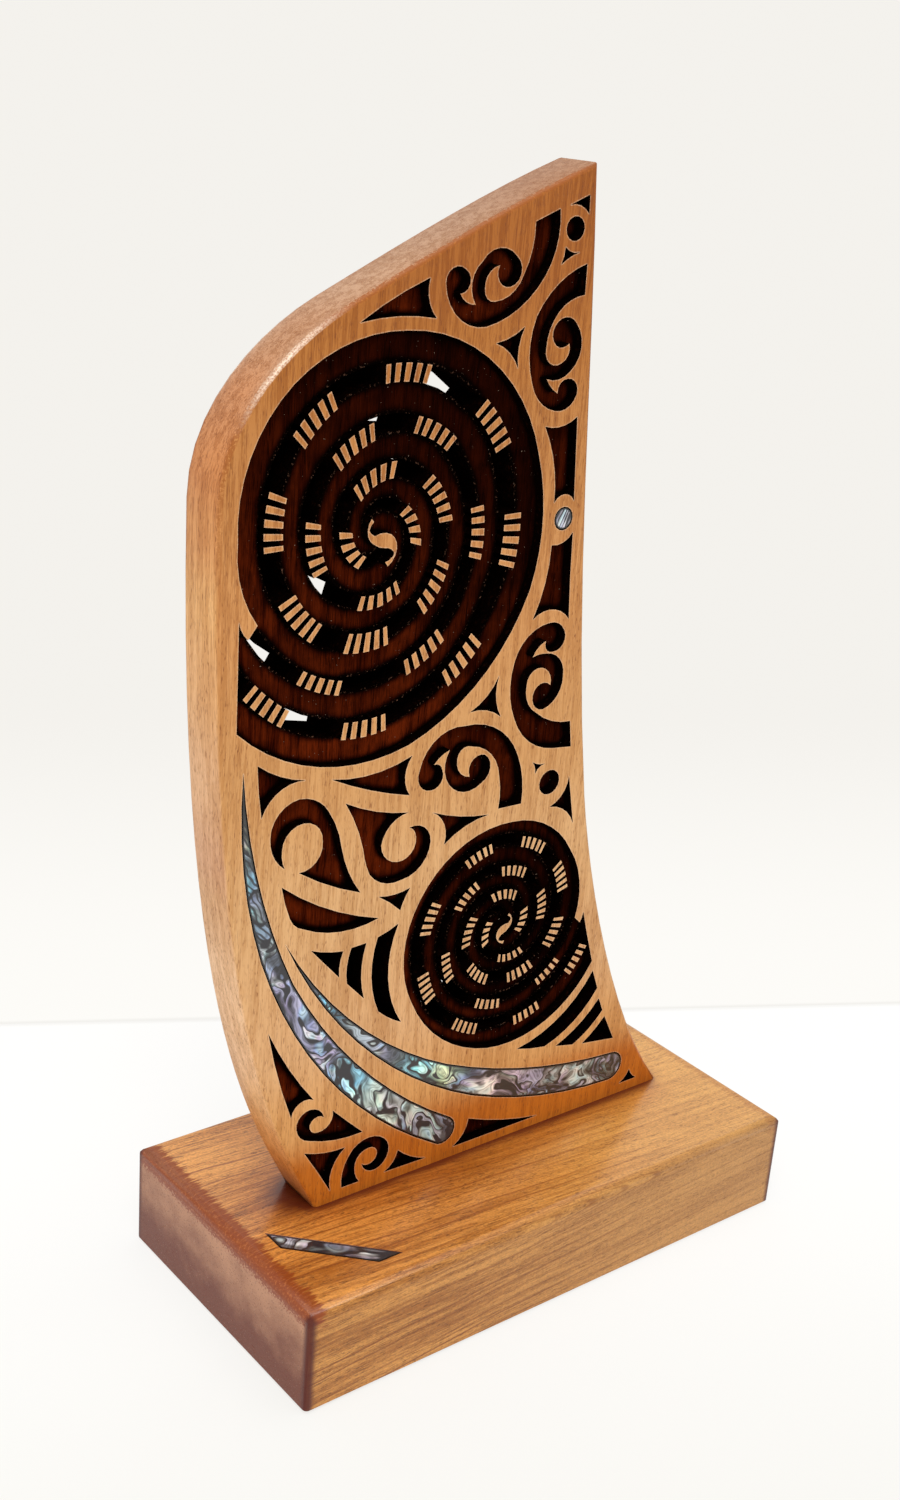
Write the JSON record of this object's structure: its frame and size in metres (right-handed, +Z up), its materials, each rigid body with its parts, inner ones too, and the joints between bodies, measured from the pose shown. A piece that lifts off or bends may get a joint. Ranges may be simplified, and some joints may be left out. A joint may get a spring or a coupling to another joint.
{
  "type": "canoe stern carving",
  "caption": "Upright pierced timber panel carved with double spirals and curling scrolls, inlaid with shell and standing on a rectangular timber base.",
  "frame": {"origin": "centre of the base's underside, on the felt", "axes": "+X along the base, towards the side where the panel's foot flares out; +Y away from the carved face, so the carved face looks towards -Y; +Z up"},
  "size_m": [0.2108, 0.101, 0.3504],
  "materials": {
    "panel_timber": "oiled, with charred recesses",
    "base_timber": "satin lacquer",
    "shell": "polished paua shell",
    "screw_steel": "yellow zinc plated",
    "felt": "matt felt"
  },
  "bodies": {
    "root": {"carved_panel": "panel_timber", "stern_crescent_inlay": "shell", "keel_crescent_inlay": "shell", "eye_inlay": "shell", "base_block": "base_timber", "base_corner_inlay": "shell", "base_felt": "felt", "foot_screw_1": "screw_steel", "foot_screw_2": "screw_steel"}
  },
  "joints": []
}
